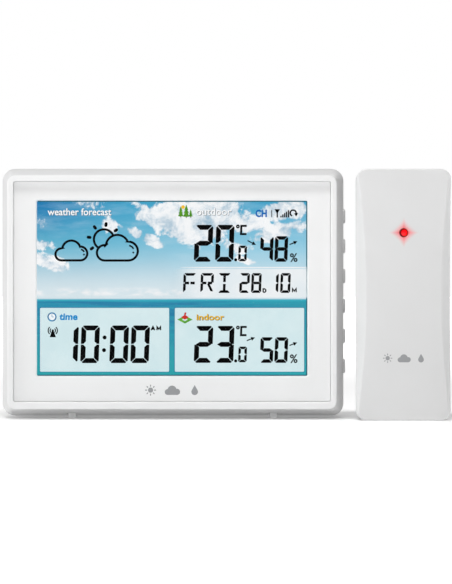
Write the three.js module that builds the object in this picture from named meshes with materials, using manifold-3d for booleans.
// Home weather station: a desk console with a colour display, and its separate outdoor sensor.
// Millimetres, +Z up, both fronts facing -Y, +X to the right as seen from the front. The origin lies on
// the surface that the pair stands on, under the middle of the pair's box.
// The console and the sensor are each built in a group whose own y runs back from its front face.
import * as THREE from "three";
import { mergeVertices } from "three/addons/utils/BufferGeometryUtils.js";
import Module from "manifold-3d";

const wasm = await Module();
wasm.setup();

// ---------------------------------------------------------------- driving dimensions

const GAP = 0.3; // between pieces that touch on the real object
const CORNER_STEPS = 3; // straight steps in a quarter-round corner
const ROD_SIDES = 12;

// The gap between the two housings, and how far the sensor stands in front of the console.
const SET = { apart: 4.2, sensorForward: 5 };

const BODY = { width: 150, height: 108.6, depth: 24, wall: 2.2, cornerRadius: 5.5 };
BODY.flare = 3.9; // how far the housing swells past the frame
BODY.seam = 4.6; // depth of the frame
BODY.widest = 17; // depth at which the housing is widest
BODY.base = 0.7; // the feet lift the housing by this much
BODY.middle = BODY.base + BODY.height / 2;

const FRAME = {
  width: BODY.width - 2 * BODY.flare,
  height: BODY.height - 2 * BODY.flare,
  cornerRadius: 3.3,
  sideRim: 2.5,
  topRim: 2.5,
  bottomRim: 3,
};

const BEZEL = { front: 2, thickness: 1 };
const WINDOW = { width: 117, height: 75.8, middle: 56.7 };
const DISPLAY = { width: 122, height: 81, middle: 56.6, filmBottom: 18.6, filmTop: 96.8 };

// Front and back of each layer of the display, counted back from the front of the frame.
const LAYER = {
  lens: [3.3, 4.1],
  lcd: [4.4, 5.5],
  film: [5.8, 6.1],
  guide: [6.4, 8],
  holderPlate: [8.3, 9.1],
  mainPcb: [10.4, 11.6],
};

const CELL = { length: 44.5, radius: 5.25, nubRadius: 1.9, nubLength: 1 };
const BAY = { width: 50, bottom: 57.2, top: 93.8, floor: 10.4, wall: 1.2, pitch: 11.6 };
const DOOR = { lip: 2.5, thickness: 1.6 };

const STAND = { width: 65.2, bottom: 8.4, thickness: 2.5 };
STAND.hingeHeight = 49.6;
STAND.hingeDepth = 22;
STAND.barrelRadius = 1.7;
const STAND_WELL = { width: 66, bottom: 7, top: 53, floor: 19.8, wall: 1.2 };

const BUTTON = { count: 6, pitch: 13.15, length: 6.3, width: 3.6, depth: 16, proud: 0.7, middle: 55.5 };
const FOOT = { apart: 88, width: 3.4, length: 10.5, front: 10.5, height: 4, flangeReach: 3 };
const JACK = { x: -54, z: 16, radius: 3.1 };
const BUZZER = { x: -44, z: 72 };
const CASE_SCREW = { x: 66.6, z: 44.4, headRadius: 2.6, shankRadius: 1 };
const KEYHOLE = { x: 54, z: 86, headRadius: 3.5, slotRadius: 1.8, rise: 7 };

const SENSOR = { width: 40.6, height: 107.9, depth: 20, wall: 1.8, cornerRadius: 4.5, seam: 12 };
const FACET = { ends: 0.2, middle: 4.2, depth: 5 }; // the waist cut down each side of the sensor's front
const SENSOR_BAY = { width: 24, bottom: 13.8, top: 64.6, floor: 7.3, wall: 1.2, pitch: 11.2 };
const CONTROL_WELL = { bottom: 66.8, top: 80, floor: 12.2 };
const TEST_BUTTON = { x: 8, z: 73.2 };
const SENSOR_LED = { height: 80.5, radius: 1.65 };
const SENSOR_SCREW = { x: 14.6, bottom: 6.4, top: 101.5, headRadius: 1.9, shankRadius: 0.9 };
const SENSOR_KEYHOLE = { z: 91, headRadius: 3.3, slotRadius: 1.7, rise: 6 };

// ---------------------------------------------------------------- materials

function finish(color, roughness, metalness = 0, extra = {}) {
  return new THREE.MeshStandardMaterial({ color, roughness, metalness, ...extra });
}

const MATERIAL = {
  frameWhite: finish(0xf3f4f5, 0.35),
  bezelWhite: finish(0xebedee, 0.4),
  housingWhite: finish(0xe6e8ea, 0.45),
  sensorWhite: finish(0xdfe1e3, 0.4),
  clearLens: finish(0xf4f8fa, 0.08, 0, { transparent: true, opacity: 0.25 }),
  glass: finish(0xbcc8cc, 0.1),
  skyFilm: finish(0x3a8fc4, 0.6),
  lightGuide: finish(0xeef4f6, 0.25),
  holderPlastic: finish(0xd4d6d8, 0.6),
  circuitBoard: finish(0x1f6b3a, 0.55),
  blackPlastic: finish(0x1b1c1e, 0.5),
  steel: finish(0xb9bcc0, 0.3, 0.9),
  brass: finish(0xb08d4c, 0.35, 0.9),
  cellWrap: finish(0x2f3236, 0.35, 0.3),
  rubberGrey: finish(0x55585c, 0.85),
  rubberWhite: finish(0xe4e5e6, 0.8),
  redLed: finish(0xe3121b, 0.2),
};

// ---------------------------------------------------------------- shaping tools

// The closed solid that a geometry bounds.
function solidOf(geometry) {
  const bare = geometry.clone();
  bare.deleteAttribute("normal");
  bare.deleteAttribute("uv");
  const merged = mergeVertices(bare, 1e-4);
  const triVerts = new Uint32Array(merged.index.array);
  return new wasm.Manifold(
    new wasm.Mesh({ numProp: 3, vertProperties: merged.attributes.position.array, triVerts }),
  );
}

// The geometry of a solid, with flat faces.
function geometryOf(solid) {
  const mesh = solid.getMesh();
  const geometry = new THREE.BufferGeometry();
  geometry.setAttribute("position", new THREE.BufferAttribute(mesh.vertProperties, 3));
  geometry.setIndex(new THREE.BufferAttribute(mesh.triVerts, 1));
  const faceted = geometry.toNonIndexed();
  faceted.computeVertexNormals();
  return faceted;
}

const join = (first, ...others) => others.reduce((sum, other) => sum.add(other), first);
const cut = (first, ...tools) => tools.reduce((rest, tool) => rest.subtract(tool), first);

// A box between two stations on each axis.
function block(x, y, z) {
  const spans = [x, y, z];
  const size = spans.map(([low, high]) => high - low);
  const centre = spans.map(([low, high]) => (low + high) / 2);
  return solidOf(new THREE.BoxGeometry(...size).translate(...centre));
}

// A box that is symmetric about x = 0.
const middleBlock = (width, y, z) => block([-width / 2, width / 2], y, z);

// A round rod between two stations on one axis. The centre gives the other two coordinates, in x, y, z
// order.
function rod(axis, radius, [from, to], [first, second], sides = ROD_SIDES) {
  const geometry = new THREE.CylinderGeometry(radius, radius, to - from, sides);
  const along = (from + to) / 2;
  if (axis === "x") geometry.rotateZ(Math.PI / 2).translate(along, first, second);
  if (axis === "y") geometry.translate(first, along, second);
  if (axis === "z") geometry.rotateX(Math.PI / 2).translate(first, second, along);
  return solidOf(geometry);
}

// A cone-shaped rod along x, for a battery spring.
function coneAlongX(bigRadius, smallRadius, bigEnd, smallEnd, y, z) {
  const pointsRight = smallEnd > bigEnd;
  const geometry = new THREE.CylinderGeometry(smallRadius, bigRadius, Math.abs(smallEnd - bigEnd), 10);
  geometry.rotateZ(pointsRight ? -Math.PI / 2 : Math.PI / 2);
  return solidOf(geometry.translate((bigEnd + smallEnd) / 2, y, z));
}

// A rectangle with round corners, centred on the origin.
function roundedRectangle(width, height, radius) {
  const x = width / 2 - radius;
  const y = height / 2 - radius;
  const shape = new THREE.Shape();
  shape.moveTo(x, -height / 2);
  shape.absarc(x, -y, radius, -Math.PI / 2, 0);
  shape.absarc(x, y, radius, 0, Math.PI / 2);
  shape.absarc(-x, y, radius, Math.PI / 2, Math.PI);
  shape.absarc(-x, -y, radius, Math.PI, 1.5 * Math.PI);
  return shape;
}

// An outline in the x-z plane, drawn about (x, z), given thickness from a front to a back station on y.
function panel(outline, [front, back], [x, z]) {
  const geometry = new THREE.ExtrudeGeometry(outline, {
    depth: back - front,
    bevelEnabled: false,
    curveSegments: CORNER_STEPS,
  });
  return solidOf(geometry.rotateX(Math.PI / 2).translate(x, back, z));
}

// A panel whose outline swells by an elliptical quarter round, over run millimetres, from both its faces.
function pillow(outline, swell, run, [front, back], [x, z], steps = 5) {
  const geometry = new THREE.ExtrudeGeometry(outline, {
    depth: back - front - 2 * run,
    bevelThickness: run,
    bevelSize: swell,
    bevelSegments: steps,
    curveSegments: CORNER_STEPS,
  });
  return solidOf(geometry.rotateX(Math.PI / 2).translate(x, back - run, z));
}

// An outline in the y-z plane, drawn about (y, z), given thickness along x.
function sidePanel(outline, [from, to], [y, z]) {
  const geometry = new THREE.ExtrudeGeometry(outline, {
    depth: to - from,
    bevelEnabled: false,
    curveSegments: CORNER_STEPS,
  });
  const turn = new THREE.Matrix4().makeBasis(
    new THREE.Vector3(0, 1, 0),
    new THREE.Vector3(0, 0, 1),
    new THREE.Vector3(1, 0, 0),
  );
  return solidOf(geometry.applyMatrix4(turn).translate(from, y, z));
}

// A keyhole for hanging on a screw: a round mouth with a narrower slot rising from it.
function keyholeCutter({ headRadius, slotRadius, rise }, x, z, depth) {
  return join(
    rod("y", headRadius, depth, [x, z]),
    block([x - slotRadius, x + slotRadius], depth, [z, z + rise]),
    rod("y", slotRadius, depth, [x, z + rise]),
  );
}

// A dry cell lying along x or z, with its positive nub towards the end that nubAt names (+1 or -1).
function dryCell(axis, [first, second], start, nubAt) {
  const end = start + CELL.length;
  const body = nubAt > 0 ? [start, end - CELL.nubLength] : [start + CELL.nubLength, end];
  const nub = nubAt > 0 ? [end - 2, end] : [start, start + 2];
  return join(
    rod(axis, CELL.radius, body, [first, second], 16),
    rod(axis, CELL.nubRadius, nub, [first, second], 8),
  );
}

// A pan-head screw driven towards -y, with a cross recess in its head.
function panScrew({ headRadius, shankRadius }, x, z, underHead, headHeight, tip) {
  const top = underHead + headHeight;
  const recess = [top - headHeight / 2, top + 1];
  const slot = headRadius * 0.6;
  return cut(
    join(
      rod("y", headRadius, [underHead, top], [x, z], 12),
      rod("y", shankRadius, [tip, underHead + headHeight / 4], [x, z], 8),
    ),
    block([x - slot, x + slot], recess, [z - 0.3, z + 0.3]),
    block([x - 0.3, x + 0.3], recess, [z - slot, z + slot]),
  );
}

class Helix extends THREE.Curve {
  constructor(radius, length, turns) {
    super();
    Object.assign(this, { radius, length, turns });
  }

  getPoint(t, target = new THREE.Vector3()) {
    const angle = t * this.turns * 2 * Math.PI;
    return target.set(this.length * t, this.radius * Math.cos(angle), this.radius * Math.sin(angle));
  }
}

// A coil of wire along x, starting at the origin.
function coil(radius, length, turns, wireRadius) {
  const section = new THREE.Shape().absarc(0, 0, wireRadius, 0, 2 * Math.PI);
  return new THREE.ExtrudeGeometry(section, {
    steps: turns * 9,
    curveSegments: 2,
    extrudePath: new Helix(radius, length, turns),
  });
}

const numbers = (count) => Array.from({ length: count }, (_, index) => index);
const span = (one, other) => [Math.min(one, other), Math.max(one, other)];

// ---------------------------------------------------------------- the console

const bezelOpening = {
  width: FRAME.width - 2 * FRAME.sideRim,
  height: FRAME.height - FRAME.topRim - FRAME.bottomRim,
  middle: BODY.middle + (FRAME.bottomRim - FRAME.topRim) / 2,
};
const holderOuter = { width: DISPLAY.width + 5, height: DISPLAY.height + 4.2 };
const postHeights = [BODY.middle - CASE_SCREW.z, BODY.middle + CASE_SCREW.z];
const casePosts = [-CASE_SCREW.x, CASE_SCREW.x].flatMap((x) => postHeights.map((z) => [x, z]));
const buttonHeights = numbers(BUTTON.count).map(
  (index) => BUTTON.middle + ((BUTTON.count - 1) / 2 - index) * BUTTON.pitch,
);

function frontFrame() {
  const ledge = BEZEL.front + BEZEL.thickness + GAP;
  const outline = roundedRectangle(FRAME.width, FRAME.height, FRAME.cornerRadius);
  const ring = panel(outline, [0, BODY.seam], [0, BODY.middle]);
  const tray = panel(
    roundedRectangle(bezelOpening.width, bezelOpening.height, 0.5),
    [-1, ledge],
    [0, bezelOpening.middle],
  );
  const displayOpening = panel(
    roundedRectangle(holderOuter.width + 1, holderOuter.height + 0.8, 0.5),
    [0, BODY.seam + 1],
    [0, DISPLAY.middle],
  );
  const posts = casePosts.map(([x, z]) => rod("y", 2.2, [BODY.seam - 1, 11], [x, z], 12));
  const pilots = casePosts.map(([x, z]) => rod("y", 1.25, [5.6, 12], [x, z], 8));
  return cut(join(cut(ring, tray, displayOpening), ...posts), ...pilots);
}

function innerBezel() {
  const depth = [BEZEL.front, BEZEL.front + BEZEL.thickness];
  const outline = roundedRectangle(bezelOpening.width - 2 * GAP, bezelOpening.height - 2 * GAP, 0.4);
  const window = roundedRectangle(WINDOW.width, WINDOW.height, 0.4);
  return cut(
    panel(outline, depth, [0, bezelOpening.middle]),
    panel(window, [depth[0] - 1, depth[1] + 1], [0, WINDOW.middle]),
  );
}

function lcdHolder() {
  const depth = [3.5, LAYER.holderPlate[1]];
  const plateFront = LAYER.holderPlate[0];
  const tray = cut(
    panel(roundedRectangle(holderOuter.width, holderOuter.height, 0.4), depth, [0, DISPLAY.middle]),
    panel(
      roundedRectangle(DISPLAY.width + 0.8, DISPLAY.height + 0.8, 0.3),
      [depth[0] - 1, plateFront],
      [0, DISPLAY.middle],
    ),
    middleBlock(101, [plateFront - 1, depth[1] + 1], [15.9, 18.5]), // slot for the elastomer connector
  );
  const pcbPegs = [-52, 52].flatMap((x) =>
    [24, 46].map((z) => rod("y", 2, [plateFront + 0.2, LAYER.mainPcb[0] - GAP], [x, z], 10)),
  );
  return join(tray, ...pcbPegs);
}

function backlightStrip() {
  const strip = block([-60.7, -59.6], LAYER.guide, [22, 93]);
  const lamps = numbers(6).map((index) => {
    const z = 28 + index * 11.8;
    return block([-59.8, -58.9], [LAYER.guide[0] + 0.2, LAYER.guide[1] - 0.2], [z, z + 2.4]);
  });
  return join(strip, ...lamps);
}

function mainPcb() {
  const board = middleBlock(116, LAYER.mainPcb, [12, 52]);
  const back = LAYER.mainPcb[1];
  const chips = [
    [-30, 34, 12, 1.4],
    [-6, 36, 8, 1.2],
    [16, 30, 6, 2],
    [30, 40, 5, 1],
    [-40, 20, 5, 1.6],
  ].map(([x, z, side, height]) =>
    block([x - side / 2, x + side / 2], [back - 0.2, back + height], [z - side / 2, z + side / 2]),
  );
  const capacitors = [4, 12].map((x) => rod("y", 2, [back - 0.2, back + 4], [x, 20], 10));
  return join(board, ...chips, ...capacitors);
}

function indoorProbe() {
  const board = block([46, 58], [17, 18], [27, 37]);
  const sensorChip = block([50, 54], [17.8, 19.6], [30, 34]);
  const legs = [48, 56].map((x) => block([x - 0.4, x + 0.4], [LAYER.mainPcb[1] + GAP, 17.2], [31.6, 32.4]));
  return join(board, sensorChip, ...legs);
}

function buttonPcb() {
  return block([65.6, 66.8], [12, 20], [17, 94]);
}

function tactSwitch(z) {
  return join(
    block([66.8 + GAP, 69], [BUTTON.depth - 2.2, BUTTON.depth + 2.2], [z - 2.2, z + 2.2]),
    rod("x", 1, [68.8, 69.6], [BUTTON.depth, z], 10),
  );
}

// The cap stands proud of the wall. A flange keeps it in, and a stem reaches for the switch.
function sideButton(z) {
  const face = BODY.width / 2 + BUTTON.proud;
  const innerWall = BODY.width / 2 - BODY.wall;
  const cap = roundedRectangle(BUTTON.width, BUTTON.length, BUTTON.width / 2 - 0.02);
  const flange = roundedRectangle(5, 8.3, 2);
  return join(
    sidePanel(cap, [innerWall - 0.6, face], [BUTTON.depth, z]),
    sidePanel(flange, [innerWall - 1.3, innerWall - 0.4], [BUTTON.depth, z]),
    rod("x", 1.2, [70.4, innerWall - 1], [BUTTON.depth, z], 10),
  );
}

// The outer form: it flares out behind the frame, is widest at BODY.widest, and rounds in to the back.
function housingForm() {
  const outline = roundedRectangle(FRAME.width, FRAME.height, BODY.cornerRadius - BODY.flare);
  const front = BODY.seam + GAP;
  const run = BODY.widest - front;
  const centre = [0, BODY.middle];
  const reach = BODY.width;
  const whole = [BODY.middle - reach, BODY.middle + reach];
  const flare = pillow(outline, BODY.flare, run, [front, front + 2 * run + 1], centre, 6);
  const back = pillow(outline, BODY.flare, 5, [front, BODY.depth], centre, 4);
  return join(
    flare.intersect(middleBlock(2 * reach, [front - 1, BODY.widest], whole)),
    back.intersect(middleBlock(2 * reach, [BODY.widest, BODY.depth + 1], whole)),
  );
}

function hollowInside() {
  const wide = roundedRectangle(BODY.width - 2 * BODY.wall, BODY.height - 2 * BODY.wall, 3.3);
  const mouth = roundedRectangle(FRAME.width - 3.2, FRAME.height - 3.4, 1.4);
  return join(
    panel(wide, [9, BODY.depth - BODY.wall], [0, BODY.middle]),
    panel(mouth, [BODY.seam - 1, 9.5], [0, BODY.middle]),
  );
}

const doorRecess = {
  width: BAY.width + 2 * DOOR.lip,
  bottom: BAY.bottom - DOOR.lip,
  top: BAY.top + DOOR.lip,
  floor: BODY.depth - DOOR.thickness - 0.2,
};

function rearHousing() {
  const inside = BODY.depth - BODY.wall;
  const past = BODY.depth + 1;
  const { hingeDepth, hingeHeight } = STAND;
  const bayWalls = middleBlock(
    BAY.width + 2 * BAY.wall,
    [BAY.floor - 1, inside + 0.5],
    [BAY.bottom - BAY.wall, BAY.top + BAY.wall],
  );
  const collar = middleBlock(
    doorRecess.width + 3,
    [20.4, inside + 0.5],
    [doorRecess.bottom - 1.5, doorRecess.top + 1.5],
  );
  const wellWalls = middleBlock(
    STAND_WELL.width + 2 * STAND_WELL.wall,
    [STAND_WELL.floor - STAND_WELL.wall, inside + 0.5],
    [STAND_WELL.bottom - STAND_WELL.wall, STAND_WELL.top + STAND_WELL.wall],
  );
  const notchDepth = [STAND_WELL.floor - STAND_WELL.wall, inside + 0.5];
  const notchWalls = middleBlock(20.4, notchDepth, [2.4, STAND_WELL.bottom]);
  const hingeBosses = [-1, 1].map((side) => {
    const x = span(side * (STAND_WELL.width / 2 - 0.1), side * (STAND_WELL.width / 2 + 4));
    const depth = [STAND_WELL.floor - STAND_WELL.wall, BODY.depth - 0.1];
    return block(x, depth, [hingeHeight - 4, hingeHeight + 4]);
  });
  const posts = casePosts.map(([x, z]) => rod("y", 3.75, [11.3, inside + 0.5], [x, z], 12));
  const pcbRails = [24, 55.5, 87].map((z) => block([64.6, 67.8], [20 + GAP, inside + 0.5], [z - 2, z + 2]));
  const shell = join(
    cut(housingForm(), hollowInside()),
    bayWalls,
    collar,
    wellWalls,
    notchWalls,
    ...hingeBosses,
    ...posts,
    ...pcbRails,
  );

  const bay = middleBlock(BAY.width, [BAY.floor, past], [BAY.bottom, BAY.top]);
  const recessDepth = [doorRecess.floor, past];
  const recess = middleBlock(doorRecess.width, recessDepth, [doorRecess.bottom, doorRecess.top]);
  const doorGrip = middleBlock(14, recessDepth, [doorRecess.top - 0.1, doorRecess.top + 1.6]);
  const wellDepth = [STAND_WELL.floor, past];
  const well = middleBlock(STAND_WELL.width, wellDepth, [STAND_WELL.bottom, STAND_WELL.top]);
  const fingerNotch = middleBlock(18, wellDepth, [3.6, STAND_WELL.bottom + 0.1]);
  const socketReach = STAND_WELL.width / 2 + 2.4;
  const hingeSockets = rod("x", 1.45, [-socketReach, socketReach], [hingeDepth, hingeHeight]);
  const screwWells = casePosts.map(([x, z]) =>
    rod("y", CASE_SCREW.headRadius + 0.2, [14, past], [x, z], 12),
  );
  const screwHoles = casePosts.map(([x, z]) => rod("y", 1.5, [11, 15], [x, z], 8));
  const keyholes = [-KEYHOLE.x, KEYHOLE.x].map((x) =>
    keyholeCutter(KEYHOLE, x, KEYHOLE.z, [inside - 1, past]),
  );
  const vents = numbers(6).map((index) => {
    const z = 22 + index * 3.2;
    return block([43, 61], [inside - 1, past], [z, z + 1.6]);
  });
  const soundHoles = numbers(5).map((index) =>
    rod("y", 0.8, [inside - 1, past], [BUZZER.x + (index - 2) * 3, BUZZER.z], 8),
  );
  const jackHole = rod("y", JACK.radius + GAP, [inside - 1, past], [JACK.x, JACK.z]);
  const buttonSlots = buttonHeights.map((z) =>
    sidePanel(
      roundedRectangle(BUTTON.width + 2 * GAP, BUTTON.length + 2 * GAP, BUTTON.width / 2 + GAP - 0.02),
      [70, 80],
      [BUTTON.depth, z],
    ),
  );
  const footSlots = [-1, 1].map((side) => {
    const x = side * (FOOT.apart / 2);
    const half = FOOT.width / 2 + GAP;
    const depth = [FOOT.front - GAP, FOOT.front + FOOT.length + GAP];
    return block([x - half, x + half], depth, [-1, FOOT.height + GAP]);
  });
  return cut(
    shell,
    bay,
    recess,
    doorGrip,
    well,
    fingerNotch,
    hingeSockets,
    ...screwWells,
    ...screwHoles,
    ...keyholes,
    ...vents,
    ...soundHoles,
    jackHole,
    ...buttonSlots,
    ...footSlots,
  );
}

// A plate with ribs inside, a tongue at its lower edge and a catch at its upper edge.
function consoleBatteryDoor() {
  const half = doorRecess.width / 2 - GAP;
  const back = BODY.depth - 0.1;
  const plate = block(
    [-half, half],
    [back - DOOR.thickness + 0.2, back],
    [doorRecess.bottom + GAP, doorRecess.top - GAP],
  );
  const catchTab = middleBlock(12, [back - 0.8, back], [doorRecess.top - 0.6, doorRecess.top + 1.2]);
  const gripRidges = numbers(3).map((index) => {
    const z = BAY.top - 2 - index * 2;
    return middleBlock(12, [back - DOOR.thickness + 0.8, BODY.depth], [z, z + 0.9]);
  });
  return join(plate, catchTab, ...gripRidges);
}

function standLeg() {
  const half = STAND.width / 2;
  const { hingeDepth, hingeHeight } = STAND;
  const front = hingeDepth - 1.1;
  const leg = block([-half, half], [front, front + STAND.thickness], [STAND.bottom, hingeHeight]);
  const barrel = rod("x", STAND.barrelRadius, [-half, half], [hingeDepth, hingeHeight]);
  const pins = rod("x", 1.1, [-half - 2.2, half + 2.2], [hingeDepth, hingeHeight], 10);
  const hollows = numbers(3).map((index) => {
    const x = (index - 1) * 20;
    return block([x - 8, x + 8], [front - 1, front + 1], [18, 42]);
  });
  return join(cut(leg, ...hollows), barrel, pins);
}

function consoleCells() {
  const middle = (BAY.bottom + BAY.top) / 2;
  const depth = BAY.floor + GAP + CELL.radius;
  return numbers(3).map((index) => {
    const nubAt = index % 2 ? -1 : 1;
    return { z: middle + (index - 1) * BAY.pitch, depth, nubAt };
  });
}

// One end of the battery bay: a plate with a spring for each negative end and a bump for each positive end.
function consoleContacts(side) {
  const wallFace = side * (BAY.width / 2 - GAP);
  const plateFace = wallFace - side * 0.5;
  const cells = consoleCells();
  const plate = block(span(wallFace, plateFace), [BAY.floor + GAP, 20.6], [BAY.bottom + 1, BAY.top - 1]);
  const touches = cells.map(({ z, depth, nubAt }) => {
    const reach = plateFace - side * 1.9;
    const base = plateFace + side * 0.2;
    return nubAt === side
      ? coneAlongX(2.2, 1.6, base, reach, depth, z)
      : coneAlongX(3.4, 1.8, base, reach, depth, z);
  });
  return join(plate, ...touches);
}

function dcJack() {
  const { x, z, radius } = JACK;
  const front = LAYER.mainPcb[1] + GAP;
  const shell = join(
    block([x - 4.6, x + 4.6], [front, 21.4], [z - 4.4, z + 4.4]),
    rod("y", radius, [21, BODY.depth - 0.4], [x, z]),
  );
  const bore = rod("y", 2.6, [15, BODY.depth + 1], [x, z]);
  const pin = rod("y", 0.9, [14.5, 22.4], [x, z], 8);
  return join(cut(shell, bore), pin);
}

function buzzer() {
  const inside = BODY.depth - BODY.wall - GAP;
  const profile = [
    [0, 0],
    [6, 0],
    [6, 2.2],
    [4.6, 2.6],
    [0, 2.6],
  ].map(([radius, height]) => new THREE.Vector2(radius, height));
  return solidOf(new THREE.LatheGeometry(profile, 16).translate(BUZZER.x, inside - 2.6, BUZZER.z));
}

// A skid foot: a rib through the floor of the housing, held by a flange inside.
function foot(side) {
  const x = side * (FOOT.apart / 2);
  const back = FOOT.front + FOOT.length;
  return join(
    block([x - FOOT.width / 2, x + FOOT.width / 2], [FOOT.front, back], [0, FOOT.height]),
    block([x - FOOT.flangeReach, x + FOOT.flangeReach], [FOOT.front, back + 0.4], [3.2, 4.2]),
  );
}

function consolePieces() {
  const displayAt = [0, DISPLAY.middle];
  const filmHeight = [DISPLAY.filmBottom, DISPLAY.filmTop];
  const glassOutline = roundedRectangle(DISPLAY.width, DISPLAY.height, 0.3);
  const filmHalf = DISPLAY.width / 2 - GAP;
  const cells = consoleCells();
  return [
    ["front_frame", frontFrame(), MATERIAL.frameWhite],
    ["inner_bezel", innerBezel(), MATERIAL.bezelWhite],
    ["display_lens", panel(glassOutline, LAYER.lens, displayAt), MATERIAL.clearLens],
    ["lcd_panel", panel(glassOutline, LAYER.lcd, displayAt), MATERIAL.glass],
    ["colour_film", block([-filmHalf, filmHalf], LAYER.film, filmHeight), MATERIAL.skyFilm],
    ["light_guide", block([-58.6, filmHalf], LAYER.guide, filmHeight), MATERIAL.lightGuide],
    ["backlight_strip", backlightStrip(), MATERIAL.circuitBoard],
    ["lcd_holder", lcdHolder(), MATERIAL.holderPlastic],
    ["elastomer_connector", middleBlock(100, [5.8, 10.1], [16.2, 18.2]), MATERIAL.rubberGrey],
    ["main_pcb", mainPcb(), MATERIAL.circuitBoard],
    ["button_pcb", buttonPcb(), MATERIAL.circuitBoard],
    ...buttonHeights.map((z, index) => [`tact_switch_${index + 1}`, tactSwitch(z), MATERIAL.blackPlastic]),
    ...buttonHeights.map((z, index) => [`side_button_${index + 1}`, sideButton(z), MATERIAL.housingWhite]),
    ["rear_housing", rearHousing(), MATERIAL.housingWhite],
    ["battery_door", consoleBatteryDoor(), MATERIAL.housingWhite],
    ["stand_leg", standLeg(), MATERIAL.housingWhite],
    ...cells.map(({ z, depth, nubAt }, index) => [
      `console_battery_${index + 1}`,
      dryCell("x", [depth, z], -CELL.length / 2, nubAt),
      MATERIAL.cellWrap,
    ]),
    ["battery_contacts_left", consoleContacts(-1), MATERIAL.steel],
    ["battery_contacts_right", consoleContacts(1), MATERIAL.steel],
    ["dc_jack", dcJack(), MATERIAL.blackPlastic],
    ["buzzer", buzzer(), MATERIAL.blackPlastic],
    ["receiver_antenna", solidOf(coil(2.4, 22, 7, 0.45).translate(34, 16, 80)), MATERIAL.brass],
    ["indoor_probe", indoorProbe(), MATERIAL.circuitBoard],
    ...casePosts.map(([x, z], index) => [
      `case_screw_${index + 1}`,
      panScrew(CASE_SCREW, x, z, 14 + GAP, 2, 6),
      MATERIAL.steel,
    ]),
    ["foot_left", foot(-1), MATERIAL.rubberWhite],
    ["foot_right", foot(1), MATERIAL.rubberWhite],
  ];
}

// ---------------------------------------------------------------- the outdoor sensor

const sensorMiddle = SENSOR.height / 2;
const sensorScrews = [-SENSOR_SCREW.x, SENSOR_SCREW.x].flatMap((x) =>
  [SENSOR_SCREW.bottom, SENSOR_SCREW.top].map((z) => [x, z]),
);
const coverTop = CONTROL_WELL.top + 1.7;
const coverBottom = SENSOR_BAY.bottom - 1.7;

// Cuts one slanted side of the front: shallow at the ends, deepest at mid height, and fading out backwards.
function facetCutter(side) {
  const edge = side * (SENSOR.width / 2 - FACET.ends);
  const waist = side * (SENSOR.width / 2 - FACET.ends - 2 * (FACET.middle - FACET.ends));
  const outside = side * SENSOR.width;
  const outline = new THREE.Shape();
  outline.moveTo(edge, -1);
  outline.quadraticCurveTo(waist, sensorMiddle, edge, SENSOR.height + 1);
  outline.lineTo(outside, SENSOR.height + 1);
  outline.lineTo(outside, -1);
  const geometry = new THREE.ExtrudeGeometry(outline, {
    depth: FACET.depth + 2,
    bevelEnabled: false,
    curveSegments: 14,
  });
  geometry.rotateX(Math.PI / 2).translate(0, FACET.depth + 1, 0);
  const slope = (side * FACET.middle) / FACET.depth;
  return solidOf(geometry.applyMatrix4(new THREE.Matrix4().makeShear(0, 0, slope, 0, 0, 0)));
}

function sensorFrontShell() {
  const { width, height, wall, cornerRadius, seam } = SENSOR;
  const centre = [0, sensorMiddle];
  const outer = panel(roundedRectangle(width, height, cornerRadius), [0, seam], centre);
  const cavity = join(
    panel(roundedRectangle(width - 2 * wall, height - 2 * wall, 2.7), [FACET.depth, seam + 1], centre),
    panel(roundedRectangle(28.4, height - 2 * wall, 1), [wall, FACET.depth + 1], centre),
  );
  const posts = sensorScrews.map(([x, z]) => rod("y", 2.1, [1, 11], [x, z], 10));
  const pilots = sensorScrews.map(([x, z]) => rod("y", 1.15, [4, 12], [x, z], 8));
  const lampHole = rod("y", SENSOR_LED.radius + GAP, [-1, wall + 1], [0, SENSOR_LED.height]);
  return cut(
    join(cut(outer, cavity, facetCutter(-1), facetCutter(1)), ...posts),
    ...pilots,
    lampHole,
  );
}

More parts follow.
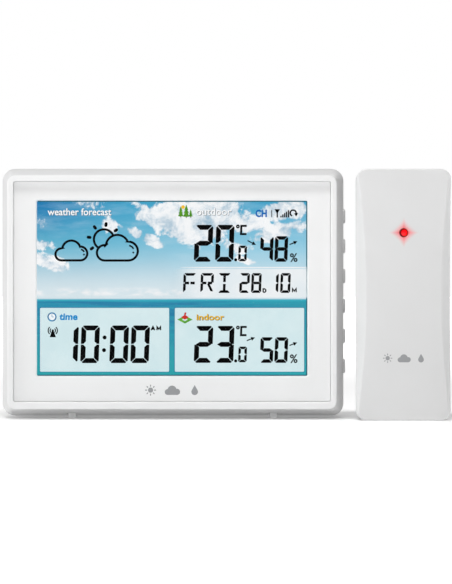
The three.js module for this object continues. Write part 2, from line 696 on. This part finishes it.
function sensorRearShell() {
  const { width, height, depth, wall, cornerRadius, seam } = SENSOR;
  const front = seam + GAP;
  const inside = depth - 1.6;
  const past = depth + 1;
  const edge = 1.2;
  const outline = roundedRectangle(width - 2 * edge, height - 2 * edge, cornerRadius - edge);
  const form = pillow(outline, edge, 1.6, [2, depth], [0, sensorMiddle], 3);
  const behindSeam = middleBlock(2 * width, [front, past], [-1, height + 1]);
  const hollow = roundedRectangle(width - 2 * wall, height - 2 * wall, 2.7);
  const cavity = panel(hollow, [front - 1, inside], [0, sensorMiddle]);
  const bayWidth = SENSOR_BAY.width + 2 * SENSOR_BAY.wall;
  const bayWalls = middleBlock(
    bayWidth,
    [SENSOR_BAY.floor - 1, inside + 0.5],
    [SENSOR_BAY.bottom - SENSOR_BAY.wall, SENSOR_BAY.top + SENSOR_BAY.wall],
  );
  const controlWalls = middleBlock(
    bayWidth,
    [CONTROL_WELL.floor - 1.2, inside + 0.5],
    [SENSOR_BAY.top + 0.5, CONTROL_WELL.top + SENSOR_BAY.wall],
  );
  const collar = middleBlock(30.4, [17.2, inside + 0.5], [coverBottom - 1.5, coverTop + 1.5]);
  const posts = sensorScrews.map(([x, z]) => rod("y", 2.7, [11.3, inside + 0.5], [x, z], 12));
  const shell = join(cut(form.intersect(behindSeam), cavity), bayWalls, controlWalls, collar, ...posts);

  const bay = middleBlock(SENSOR_BAY.width, [SENSOR_BAY.floor, past], [SENSOR_BAY.bottom, SENSOR_BAY.top]);
  const controlHeight = [CONTROL_WELL.bottom, CONTROL_WELL.top];
  const controls = middleBlock(SENSOR_BAY.width, [CONTROL_WELL.floor, past], controlHeight);
  const coverRecess = middleBlock(28, [depth - 1.6, past], [coverBottom - GAP, coverTop + GAP]);
  const wellFloor = [CONTROL_WELL.floor - 2, CONTROL_WELL.floor + 1];
  const switchSlot = block([-5.5, 1.3], wellFloor, [71.7, 74.7]);
  const buttonHole = rod("y", 2.2, wellFloor, [TEST_BUTTON.x, TEST_BUTTON.z], 12);
  const screwWells = sensorScrews.map(([x, z]) =>
    rod("y", SENSOR_SCREW.headRadius + 0.2, [15, past], [x, z], 12),
  );
  const screwHoles = sensorScrews.map(([x, z]) => rod("y", 1.2, [11, 16], [x, z], 8));
  const floorVents = [-10, 0, 10].map((x) => block([x - 4, x + 4], [13.8, 15.4], [-1, wall + 1]));
  const sideVents = [-1, 1].flatMap((side) =>
    numbers(4).map((index) => {
      const z = 86 + index * 3;
      return block(span(side * (width / 2 - wall - 1), side * (width / 2 + 1)), [14, 17.5], [z, z + 1.4]);
    }),
  );
  const keyhole = keyholeCutter(SENSOR_KEYHOLE, 0, SENSOR_KEYHOLE.z, [inside - 1, past]);
  return cut(
    shell,
    bay,
    controls,
    coverRecess,
    switchSlot,
    buttonHole,
    ...screwWells,
    ...screwHoles,
    ...floorVents,
    ...sideVents,
    keyhole,
  );
}

function sensorSeal() {
  const { width, height, wall } = SENSOR;
  const outer = [width - 2 * wall - 2 * GAP, height - 2 * wall - 2 * GAP];
  const centre = [0, sensorMiddle];
  return cut(
    panel(roundedRectangle(outer[0], outer[1], 2.4), [10.6, 13.6], centre),
    panel(roundedRectangle(outer[0] - 1.6, outer[1] - 1.6, 1.6), [9, 15], centre),
  );
}

function statusLed() {
  const profile = [
    [0, 0],
    [SENSOR_LED.radius, 0],
    [SENSOR_LED.radius, 2.2],
    [SENSOR_LED.radius * 0.85, 2.6],
    [SENSOR_LED.radius * 0.45, 2.85],
    [0, 2.9],
  ].map(([radius, height]) => new THREE.Vector2(radius, height));
  const lamp = new THREE.LatheGeometry(profile, 16).rotateX(Math.PI);
  return solidOf(lamp.translate(0, 3.1, SENSOR_LED.height));
}

function sensorPcb() {
  const board = middleBlock(26.8, [3.4, 4.4], [10, 98]);
  const parts = [
    [0, 40, 8, 1.2],
    [-6, 56, 5, 1],
    [7, 90, 4, 1.4],
  ].map(([x, z, side, height]) =>
    block([x - side / 2, x + side / 2], [4.2, 4.4 + height], [z - side / 2, z + side / 2]),
  );
  const testSwitch = block([6, 10], [4.2, 8.4], [71.2, 75.2]);
  return join(board, ...parts, testSwitch);
}

function thermistorProbe() {
  const profile = [
    [0, 0],
    [1, 0.3],
    [1.5, 1.2],
    [1.5, 4],
    [0, 4.6],
  ].map(([radius, height]) => new THREE.Vector2(radius, height));
  const bead = solidOf(new THREE.LatheGeometry(profile, 10).rotateX(Math.PI / 2).translate(0, 8, 3.4));
  const legs = block([-0.8, 0.8], [4.7, 8.4], [7, 7.8]);
  const tie = block([-0.8, 0.8], [4.7, 5.5], [7, 12]);
  return join(bead, legs, tie);
}

function sensorContacts(side) {
  const below = side < 0;
  const wallFace = below ? SENSOR_BAY.bottom + GAP : SENSOR_BAY.top - GAP;
  const plateFace = wallFace - side * 0.5;
  const plate = middleBlock(22, [SENSOR_BAY.floor + GAP, 17.4], span(wallFace, plateFace));
  const depth = SENSOR_BAY.floor + 0.2 + CELL.radius;
  const bigRadius = below ? 3.4 : 2.2;
  const reach = below ? 1.9 : 1.7;
  const touches = [-1, 1].map((column) => {
    const [upper, lower] = below ? [1.8, bigRadius] : [bigRadius, 1.5];
    const geometry = new THREE.CylinderGeometry(upper, lower, reach + 0.2, 10);
    const middle = plateFace - side * (reach / 2) + side * 0.1;
    return solidOf(
      geometry.rotateX(Math.PI / 2).translate((column * SENSOR_BAY.pitch) / 2, depth, middle),
    );
  });
  return join(plate, ...touches);
}

// The cover fills the recess in the back, with a tongue below and a thumb groove above.
function sensorBatteryCover() {
  const back = SENSOR.depth;
  const plate = middleBlock(27.4, [back - 1.4, back], [coverBottom, coverTop]);
  const grooves = numbers(4).map((index) => {
    const z = coverTop - 4 - index * 1.8;
    return middleBlock(12, [back - 0.5, back + 1], [z, z + 0.8]);
  });
  return cut(plate, ...grooves);
}

function channelSwitch() {
  return join(
    block([-7, -1.2], [9.4, 10.7], [71, 75.4]),
    block([-5.2, -3], [10.5, 14.4], [72, 74.4]),
  );
}

function testButton() {
  return join(
    rod("y", 2.9, [9.4, 10.6], [TEST_BUTTON.x, TEST_BUTTON.z], 12),
    rod("y", 1.9, [10.4, 14], [TEST_BUTTON.x, TEST_BUTTON.z], 12),
  );
}

function sensorPieces() {
  const cellDepth = SENSOR_BAY.floor + 0.2 + CELL.radius;
  return [
    ["sensor_front_shell", sensorFrontShell(), MATERIAL.sensorWhite],
    ["sensor_rear_shell", sensorRearShell(), MATERIAL.sensorWhite],
    ["sensor_seal", sensorSeal(), MATERIAL.rubberGrey],
    ["status_led", statusLed(), MATERIAL.redLed],
    ["sensor_pcb", sensorPcb(), MATERIAL.circuitBoard],
    ["sensor_antenna", solidOf(coil(2.3, 16, 6, 0.45).translate(-8, 9.5, 92)), MATERIAL.brass],
    ["thermistor_probe", thermistorProbe(), MATERIAL.blackPlastic],
    ...[-1, 1].map((column, index) => [
      `sensor_battery_${index + 1}`,
      dryCell("z", [(column * SENSOR_BAY.pitch) / 2, cellDepth], 17, 1),
      MATERIAL.cellWrap,
    ]),
    ["sensor_contact_springs", sensorContacts(-1), MATERIAL.steel],
    ["sensor_contact_plate", sensorContacts(1), MATERIAL.steel],
    ["sensor_battery_cover", sensorBatteryCover(), MATERIAL.sensorWhite],
    ["channel_switch", channelSwitch(), MATERIAL.blackPlastic],
    ["test_button", testButton(), MATERIAL.blackPlastic],
    ...sensorScrews.map(([x, z], index) => [
      `sensor_screw_${index + 1}`,
      panScrew(SENSOR_SCREW, x, z, 15 + GAP, 1.6, 5),
      MATERIAL.steel,
    ]),
  ];
}

// ---------------------------------------------------------------- the pair

function assembly(pieces, x, y) {
  const group = new THREE.Group();
  for (const [name, solid, material] of pieces) {
    const mesh = new THREE.Mesh(geometryOf(solid), material);
    mesh.name = name;
    group.add(mesh);
  }
  group.position.set(x, y, 0);
  return group;
}

const pairWidth = BODY.width + SET.apart + SENSOR.width;
const pairDepth = BODY.depth + SET.sensorForward;

const station = new THREE.Group();
station.add(assembly(consolePieces(), (BODY.width - pairWidth) / 2, pairDepth / 2 - BODY.depth));
station.add(assembly(sensorPieces(), (pairWidth - SENSOR.width) / 2, -pairDepth / 2));

export default station;
